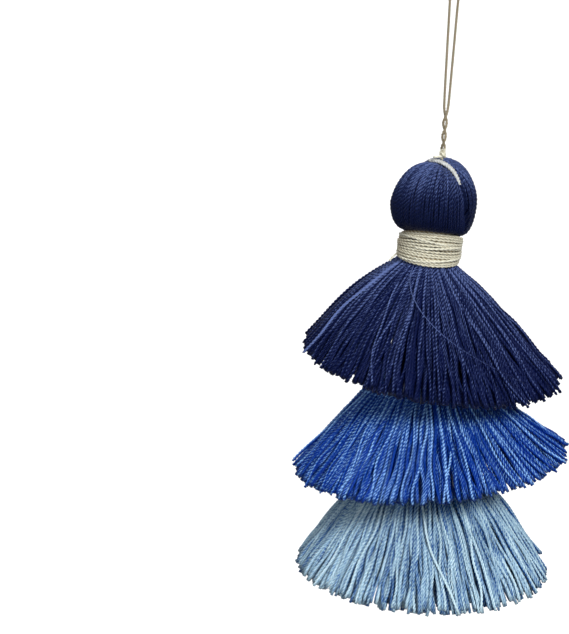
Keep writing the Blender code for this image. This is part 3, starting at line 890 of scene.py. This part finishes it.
def make_skirt(label, skirt, layers, material, node, hidden_share, tones):
    """One tier of yarns: its outer layers reach the rim, and the inner ones fill it from below.
    tones are the shares of their tone that the yarns have at their roots, middles and cut ends,
    painted shade along the tier."""
    clumps = (np.arange(CLUMPS) + dice.uniform(-CLUMP_SPREAD, CLUMP_SPREAD, CLUMPS)) * math.tau / CLUMPS
    lifts = dice.normal(0, CLUMP_LIFT, CLUMPS)
    batches = {"outer": [], "second": [], "inner": [core_batch(skirt)]}
    for layer in layers:
        n = layer.count
        places = np.arange(n) + dice.uniform(-ROOT_SPREAD, ROOT_SPREAD, n) + dice.uniform(0, 1)
        angle = places * math.tau / n
        root = dice.uniform(layer.root_low, layer.root_high, n) * skirt.waist
        pull, lift = drawn_to_clumps(angle, clumps, lifts)
        strays = dice.uniform(0, 1, n) < STRAY_SHARE
        jitter = dice.normal(0, RIM_JITTER, n) + strays * dice.normal(0, STRAY_TURN, n)
        turn = pull * layer.gathered + jitter * layer.unruly
        aim = dice.uniform(layer.aim_low, layer.aim_high, n) + lift * layer.gathered
        length_share = 1 + dice.uniform(-LENGTH_SPREAD, LENGTH_SPREAD * LONGER_SHARE, n)
        lines = skirt_lines(skirt, angle, root, aim, turn, length_share)
        if layer.part == "outer":
            lines = visible_part(lines, hidden_share)
            radius = YARN_RADIUS
        elif layer.part == "second":
            lines = np.array([resample(line, COARSE_RINGS) for line in lines])
            radius, sides = PLAIN_RADIUS, YARN_SIDES
        else:
            lines = np.array([resample(line, INNER_RINGS) for line in lines])
            radius, sides = INNER_RADIUS, INNER_SIDES
        taper = np.ones(lines.shape[1])
        taper[-1] = TIP_GIRTH
        girth = radius * dice.uniform(*GIRTH_SPREAD, (n, 1)) * taper
        along = arcs(lines)
        along = along / along[:, -1:]
        # painted shade: deeper layers darker, roots deep under the tier above, the navy darker low down
        tone = layer.tone * dice.uniform(*TONE_SPREAD, (n, 1)) * np.interp(along, TONE_PLACES, tones)
        offsets = dice.uniform(0, YARN_PITCH, n)
        side = sideways(angle)[:, None]
        if layer.part == "outer":
            batches["outer"] += plied(lines, girth, side, YARN_PITCH, tone, offsets)
        else:
            batches[layer.part].append(
                tubes(lines, girth, sides, side, YARN_PITCH, 0.0, tone, offsets)
            )
    for loose in (row for row in LOOSE_YARNS if row.skirt is skirt):
        batches["outer"] += loose_yarn(loose, tones)
    for part, made in batches.items():
        mesh_piece(f"{label}_yarns_{part}", made, material, (node,))


def loose_yarn(loose, tones):
    """One yarn that lies across the others."""
    angle, turn, aim, length_share = (np.array([value]) for value in loose[1:5])
    root = np.array([loose.skirt.waist * LOOSE_ROOT])
    lines = skirt_lines(loose.skirt, angle, root, aim, turn, length_share)
    lines = resample(lines[0], int(arcs(lines)[0, -1] / FINE_STEP))[None]
    along = np.linspace(0, 1, lines.shape[1])
    # the skirt's painted shade along the yarn, but never below LOOSE_LEAST_TONE
    tone = loose.tone * np.maximum(LOOSE_LEAST_TONE, np.interp(along, TONE_PLACES, tones))
    return plied(lines, loose.radius, sideways(angle)[:, None], YARN_PITCH, tone, np.zeros(1))


def core_batch(skirt):
    """The bundle that runs up from a skirt's waist to the hank above."""
    angle = np.arange(CORE_YARNS) * math.tau / CORE_YARNS
    lines = []
    for row in TOP_CORE_ROWS if skirt is TOP else CORE_ROWS:
        radius = (skirt.waist - YARN_RADIUS) * row.share
        lines.append(tie_ring(skirt, radius, angle, np.full(CORE_YARNS, row.rise)))
    lines = np.array([resample(line, CORE_RINGS) for line in np.stack(lines, axis=1)])
    side = sideways(angle)[:, None]
    tone = dice.uniform(0, 1, CORE_YARNS)
    return tubes(lines, YARN_RADIUS * CORE_GIRTH, CORE_SIDES, side, YARN_PITCH, 0.0, tone)


# ---------------------------------------------------------------- head


def lobe_reach(direction, turn):
    """Distance from the head's centre to the outside of its two lobes."""
    along = np.stack((np.cos(turn), np.sin(turn)), axis=-1)
    g = direction[..., 0] * along[..., 0] + direction[..., 1] * along[..., 1]
    offside = direction[..., 1] * along[..., 0] - direction[..., 0] * along[..., 1]
    n, h = np.abs(offside), direction[..., 2]
    g = g * (1 + SHOULDER_FALL * h * np.maximum(0, -g))
    a = (g / LOBE_LONG) ** 2 + (n / LOBE_DEEP) ** 2 + (h / LOBE_RISE) ** 2
    b = n * LOBE_OFFSET / LOBE_DEEP**2
    c = (LOBE_OFFSET / LOBE_DEEP) ** 2 - 1
    reach = (b + np.sqrt(b * b - a * c)) / a
    nearness = np.clip(1 - n * reach / CLEFT_WIDTH, 0, 1)
    return reach - CLEFT_DEPTH * nearness * (1 - h)


def band_lift(angle):
    """How much higher than its middle the band's top edge is."""
    return BINDING_RIGHT_LIFT * np.cos(angle) - BINDING_FRONT_LIFT * np.sin(angle)


def head_lines(azimuth, depth):
    """Yarns over the head from under the knot down into the binding, depth below its outside."""
    n = len(azimuth)
    flat = np.stack((np.cos(azimuth), np.sin(azimuth)), axis=-1)
    rise = np.broadcast_to(np.linspace(HEAD_POLE, 0, HEAD_SAMPLES), (n, HEAD_SAMPLES))
    way = np.concatenate(
        (flat[:, None, :] * np.cos(rise)[..., None], np.sin(rise)[..., None]), axis=-1
    )
    lean = POLE_LEAN * np.sin(rise) ** 2
    leaned = way.copy()
    leaned[..., 0] = way[..., 0] * np.cos(lean) + way[..., 2] * np.sin(lean)
    leaned[..., 2] = way[..., 2] * np.cos(lean) - way[..., 0] * np.sin(lean)
    reach = lobe_reach(leaned, np.full((n, HEAD_SAMPLES), GROOVE_TURN)) - depth
    top = HEAD_CENTRE + leaned * reach[..., None]

    below = HEAD_SAMPLES - 1
    share = np.broadcast_to(np.linspace(0, 1, HEAD_SAMPLES)[1:], (n, below))
    turn = GROOVE_TURN + (GROOVE_TURN_BELOW - GROOVE_TURN) * share
    level_way = np.concatenate((flat, np.zeros((n, 1))), axis=1)[:, None, :]
    level_way = np.broadcast_to(level_way, (n, below, 3))
    narrowing = (1 - np.minimum(share, 1) ** HEAD_FULLNESS) ** (1 / HEAD_FULLNESS)
    radius = TOP.waist + (lobe_reach(level_way, turn) - TOP.waist) * narrowing - depth
    waist_centre = tie_place(TOP, 0.0, 0.0, GAP + BINDING_HEIGHT + BINDING_TOP_GAP)
    middle = HEAD_CENTRE + (waist_centre - HEAD_CENTRE) * share[..., None]
    spot = middle + level_way * radius[..., None]
    ring_z = waist_centre[2] - level_way[..., 0] * radius * math.sin(TOP.tie_tilt)
    lift = band_lift(azimuth)[:, None] * (TOP.waist / BINDING_RADIUS) * share**2
    spot[..., 2] = HEAD_CENTRE[2] + (ring_z - HEAD_CENTRE[2]) * share + lift
    end = spot[:, -1:] - np.array((0.0, 0.0, INSIDE_WAIST))
    return np.concatenate((top, spot, end), axis=1)


def even_azimuths(count):
    """Directions that lie evenly apart along the outside of the two lobes."""
    fine = np.linspace(0, math.tau, OUTLINE_POINTS)
    level = math.cos(OUTLINE_LEVEL)
    rise = np.full(OUTLINE_POINTS, math.sin(OUTLINE_LEVEL))
    way = np.stack((np.cos(fine) * level, np.sin(fine) * level, rise), axis=-1)
    outline = way * lobe_reach(way, np.full(OUTLINE_POINTS, GROOVE_TURN))[:, None]
    along = arcs(outline[None])[0]
    places = np.arange(count) + dice.uniform(-HEAD_PLACE_SPREAD, HEAD_PLACE_SPREAD, count)
    wanted = places / count * along[-1]
    return np.interp(wanted % along[-1], along, fine)


def make_head(material):
    """Yarns over both lobes, on a bed of plainer ones that closes the gaps between them."""
    batches = []
    for layer in HEAD_LAYERS:
        count = layer.count
        azimuth = even_azimuths(count)
        lines = head_lines(azimuth, layer.depth + dice.normal(0, HEAD_DEPTH_SPREAD, (count, 1)))
        rings = int(arcs(lines)[:, -1].mean() / layer.step)
        lines = np.array([resample(line, rings) for line in lines])
        side = sideways(azimuth)[:, None]
        share = np.linspace(0, 1, rings)
        rate = dice.uniform(*HEAD_WAVE_RATES, (count, 1))
        wander = np.sin(share * rate + dice.uniform(0, math.tau, (count, 1)))
        lines += side * (HEAD_WAVE * np.sin(math.pi * share) * wander)[..., None]
        # painted shade low on the head and painted light near its top
        shade = np.interp(lines[..., 2], HEAD_SHADE_LEVELS, (HEAD_DEEPEST, layer.palest))
        tone = dice.uniform(*HEAD_TONE_SPREAD, (count, 1)) * shade
        offsets = dice.uniform(0, HEAD_YARN_PITCH, count)
        if layer.is_plied:
            batches += plied(lines, layer.radius, side, HEAD_YARN_PITCH, tone, offsets)
        else:
            batches.append(
                tubes(lines, layer.radius, YARN_SIDES, side, HEAD_YARN_PITCH, 0.0, tone, offsets)
            )
    mesh_piece("navy_head_yarns", batches, material, ("upper_hank",))


# ---------------------------------------------------------------- cords


def smooth_between(rows, z, column):
    """The column's value at height z, on a smooth curve through the rows."""
    last = len(rows) - 1
    i = next(k for k in range(last) if z <= rows[k + 1].z or k == last - 1)
    before, low, high, after = (rows[min(max(k, 0), last)] for k in (i - 1, i, i + 1, i + 2))
    a, b, c, d = (getattr(row, column) for row in (before, low, high, after))
    t = (z - low.z) / (high.z - low.z)
    span = high.z - low.z
    slope_low = (c - a) / (high.z - before.z) * span
    slope_high = (d - b) / (after.z - low.z) * span
    return (
        (2 * t**3 - 3 * t**2 + 1) * b
        + (t**3 - 2 * t**2 + t) * slope_low
        + (3 * t**2 - 2 * t**3) * c
        + (t**3 - t**2) * slope_high
    )


def loop_route():
    """Up one leg from the knot, over the bight and down the other leg."""
    bottom, top = LOOP_ROWS[0].z, LOOP_ROWS[-1].z
    parted_from = LOOP_ROWS[PARTED_ROW].z
    twisted = round((parted_from - bottom) / TWISTED_STEP)
    parted = round((top - parted_from) / PARTED_STEP)
    heights = [bottom + (parted_from - bottom) * i / twisted for i in range(twisted)]
    heights += [parted_from + (top - parted_from) * i / parted for i in range(parted + 1)]
    leg = []
    for z in heights:
        angle = math.tau * smooth_between(LOOP_ROWS, z, "turns")
        spread = smooth_between(LOOP_ROWS, z, "spread")
        leg.append((spread * math.cos(angle), spread * math.sin(angle), z))
    radius = LOOP_ROWS[-1].spread
    rise = CORD_DIAMETER / 2 - top
    side = math.copysign(radius, leg[-1][0])
    turns = [math.pi * (i + 1) / (BIGHT_POINTS + 1) for i in range(BIGHT_POINTS)]
    bight = [(side * math.cos(turn), 0.0, top + rise * math.sin(turn)) for turn in turns]
    other = [(-x, -y, z) for x, y, z in reversed(leg)]
    return np.array(leg + bight + other)


def smooth_line(points, count):
    """A smooth line through the points, evenly resampled."""
    points = np.asarray(points, float)
    ends = np.concatenate((2 * points[:1] - points[1:2], points, 2 * points[-1:] - points[-2:-1]))
    t = np.linspace(0, 1, CURVE_STEPS, endpoint=False)[:, None]
    made = []
    for p0, p1, p2, p3 in zip(ends, ends[1:], ends[2:], ends[3:]):
        made.append(
            0.5 * (2 * p1 + (p2 - p0) * t + (2 * p0 - 5 * p1 + 4 * p2 - p3) * t**2
                   + (3 * p1 - p0 - 3 * p2 + p3) * t**3)
        )
    made.append(points[-1:])
    return resample(np.concatenate(made), count)


def cord_batch(line, diameter, reference, tone, pitch=CORD_PITCH):
    """One twisted cord along the line."""
    radius = diameter / 2 / (1 + CORD_PLY_DEPTH / 2)
    return tubes(line[None], radius, TWISTED_SIDES, reference, pitch, CORD_PLY_DEPTH, tone)


def make_loop(material):
    line = smooth_line(loop_route(), LOOP_RINGS)
    tone = np.interp(line[:, 2], LOOP_SHADE_PLACES, LOOP_TONES)
    batch = cord_batch(line, CORD_DIAMETER, BACKWARD, tone)
    loop = mesh_piece("loop_cord", [batch], material, ("hanging_loop",))


def make_knot(material):
    """The two legs' overhand knot: a short coil with one strand crossing over it."""
    t = np.linspace(0, 1, KNOT_COIL_RINGS)
    angle = math.tau * KNOT_TURNS * t + KNOT_START
    radius = KNOT_COIL * waves(angle, (KNOT_WOBBLE,), 1.0)
    height = KNOT_Z + KNOT_HALF_HEIGHT * (1 - 2 * t)
    coil = np.stack((radius * np.cos(angle), radius * np.sin(angle), height), axis=-1)
    batches = [cord_batch(coil, KNOT_COIL_CORD, UPRIGHT, KNOT_COIL_TONE)]
    for strand in (KNOT_OVER, KNOT_CORE, KNOT_STUB):
        line = smooth_line(strand.points, strand.rings)
        batches.append(cord_batch(line, strand.diameter, strand.reference, strand.tone))
    bottom = LOOP_ROWS[0]
    for hand in (-1, 1):
        points = [(hand * bottom.spread, 0.0, bottom.z)]
        points += [(hand * x, hand * y, bottom.z - fall) for x, y, fall in KNOT_LEG_STEPS]
        points.append((0.0, hand * KNOT_LEG_END, KNOT_Z))
        leg = smooth_line(points, KNOT_LEG_RINGS)
        batches.append(cord_batch(leg, CORD_DIAMETER, BACKWARD, KNOT_LEG_TONE))
    mesh_piece("knot_cord", batches, material, ("loop_knot",))


def make_groove_cord(material):
    """Two strands side by side in the groove under the knot, sinking in at their ends."""
    rise = np.linspace(TIE_FROM, TIE_TO, TIE_POINTS)
    groove = np.array((math.cos(GROOVE_TURN), math.sin(GROOVE_TURN), 0.0))
    square = np.array((-groove[1], groove[0], 0.0))
    way = groove * np.cos(rise)[:, None] + np.array(UPRIGHT) * np.sin(rise)[:, None]
    reach = lobe_reach(way, np.full(TIE_POINTS, GROOVE_TURN)) + TIE_LIFT
    out = np.abs(rise - TIE_MIDDLE) / TIE_HALF
    sunk = TIE_SINK * np.clip(out - TIE_SINK_FROM, 0, 1) ** TIE_SINK_GROWTH
    centre = HEAD_CENTRE + way * (reach - sunk)[:, None]
    spread = TIE_SPREAD * np.clip(1 + TIE_NARROW_FROM - out, TIE_NARROWEST, 1.0)
    batches = []
    for hand, tone in zip((-1, 1), TIE_TONES):
        line = centre + square * (TIE_SIDE + hand * spread)[:, None]
        batches.append(cord_batch(resample(line, TIE_RINGS), TIE_STRAND, square, tone))
    mesh_piece("groove_cord", batches, material, ("groove_tie",))


def band_line(angle, share, radius):
    """On the band, share of the way up it."""
    return tie_ring(TOP, radius, angle, GAP + share * (BINDING_HEIGHT + band_lift(angle)))


def barrel(share):
    """How much the band swells at this share of its height."""
    return BINDING_BARREL * (1 - (2 * share - 1) ** 2)


def make_binding(material):
    """The wound band: uneven turns, a few more that cross over them, and the cord's free end."""
    edge = BINDING_CORD / 2 / BINDING_HEIGHT
    margin = edge * BINDING_MARGIN
    batches = []
    for winding in WINDINGS:
        turns = np.linspace(0, winding.turns, winding.turns * BINDING_STEPS)
        angle = math.tau * turns + winding.start
        climb = np.clip((turns - 0.5) / (winding.turns - 1), 0, 1)
        share = edge + climb * (1 - 2 * edge) + waves(angle, BINDING_WANDER)
        share = np.clip(share, margin, 1 - margin)
        pile = BINDING_PILE * np.clip(np.sin(angle), 0, 1) * np.cos(math.pi * turns)
        radius = BINDING_RADIUS - BINDING_CORD * (0.5 + winding.depth) + barrel(share) + pile
        line = band_line(angle, share, waves(angle, BINDING_BUMPS, radius))
        # painted shade on the band's left side, and deeper on the lower winding
        tone = winding.tone + np.interp(np.cos(angle), BAND_LEFT_SHADE_PLACES, (BAND_LEFT_SHADE, 0.0))
        batches.append(cord_batch(line, BINDING_CORD, UPRIGHT, tone, pitch=BINDING_PITCH))
    t = np.linspace(0, 1, BINDING_STEPS)
    for crossing in CROSSINGS:
        angle = crossing.start + math.tau * crossing.span * t
        share = crossing.low + (crossing.high - crossing.low) * t * t * (3 - 2 * t)
        sink = CROSSING_SINK * (2 * t - 1) ** 6
        line = band_line(angle, share, BINDING_RADIUS + barrel(share) - CROSSING_DEPTH - sink)
        batches.append(
            cord_batch(line, CROSSING_CORD, UPRIGHT, CROSSING_TONE, pitch=BINDING_PITCH)
        )
    start = tie_place(TOP, -BINDING_RADIUS, TAIL_Y, GAP + TAIL_RISE)
    tail = smooth_line([start + np.array(step) for step in TAIL_STEPS], TAIL_RINGS)
    batches.append(cord_batch(tail, TAIL_DIAMETER, BACKWARD, 1.0))
    mesh_piece("binding_cord", batches, material, ("neck_binding",))


make_camera()
cream = strand_material("cream_cord", CREAM, CORD_FIBRE_SCALE)
navy = strand_material("navy_yarn", NAVY)
royal = strand_material("royal_yarn", ROYAL)
sky = strand_material("sky_yarn", SKY)
make_loop(strand_material("loop_cord", LOOP_CORD, CORD_FIBRE_SCALE))
make_stage()
make_head(strand_material("navy_head_yarn", NAVY_HEAD, HEAD_FIBRE_SCALE))
make_skirt("navy", TOP, SKIRT_LAYERS, navy, "upper_hank", 0.0, NAVY_TONES)
make_skirt("royal", MIDDLE, SKIRT_LAYERS, royal, "middle_hank", HIDDEN_SHARE, ROYAL_TONES)
make_skirt("sky", BOTTOM, BOTTOM_LAYERS, sky, "bottom_hank", HIDDEN_SHARE, SKY_TONES)
make_binding(cream)
make_knot(cream)
make_groove_cord(strand_material("groove_cord", TIE_CORD, CORD_FIBRE_SCALE))
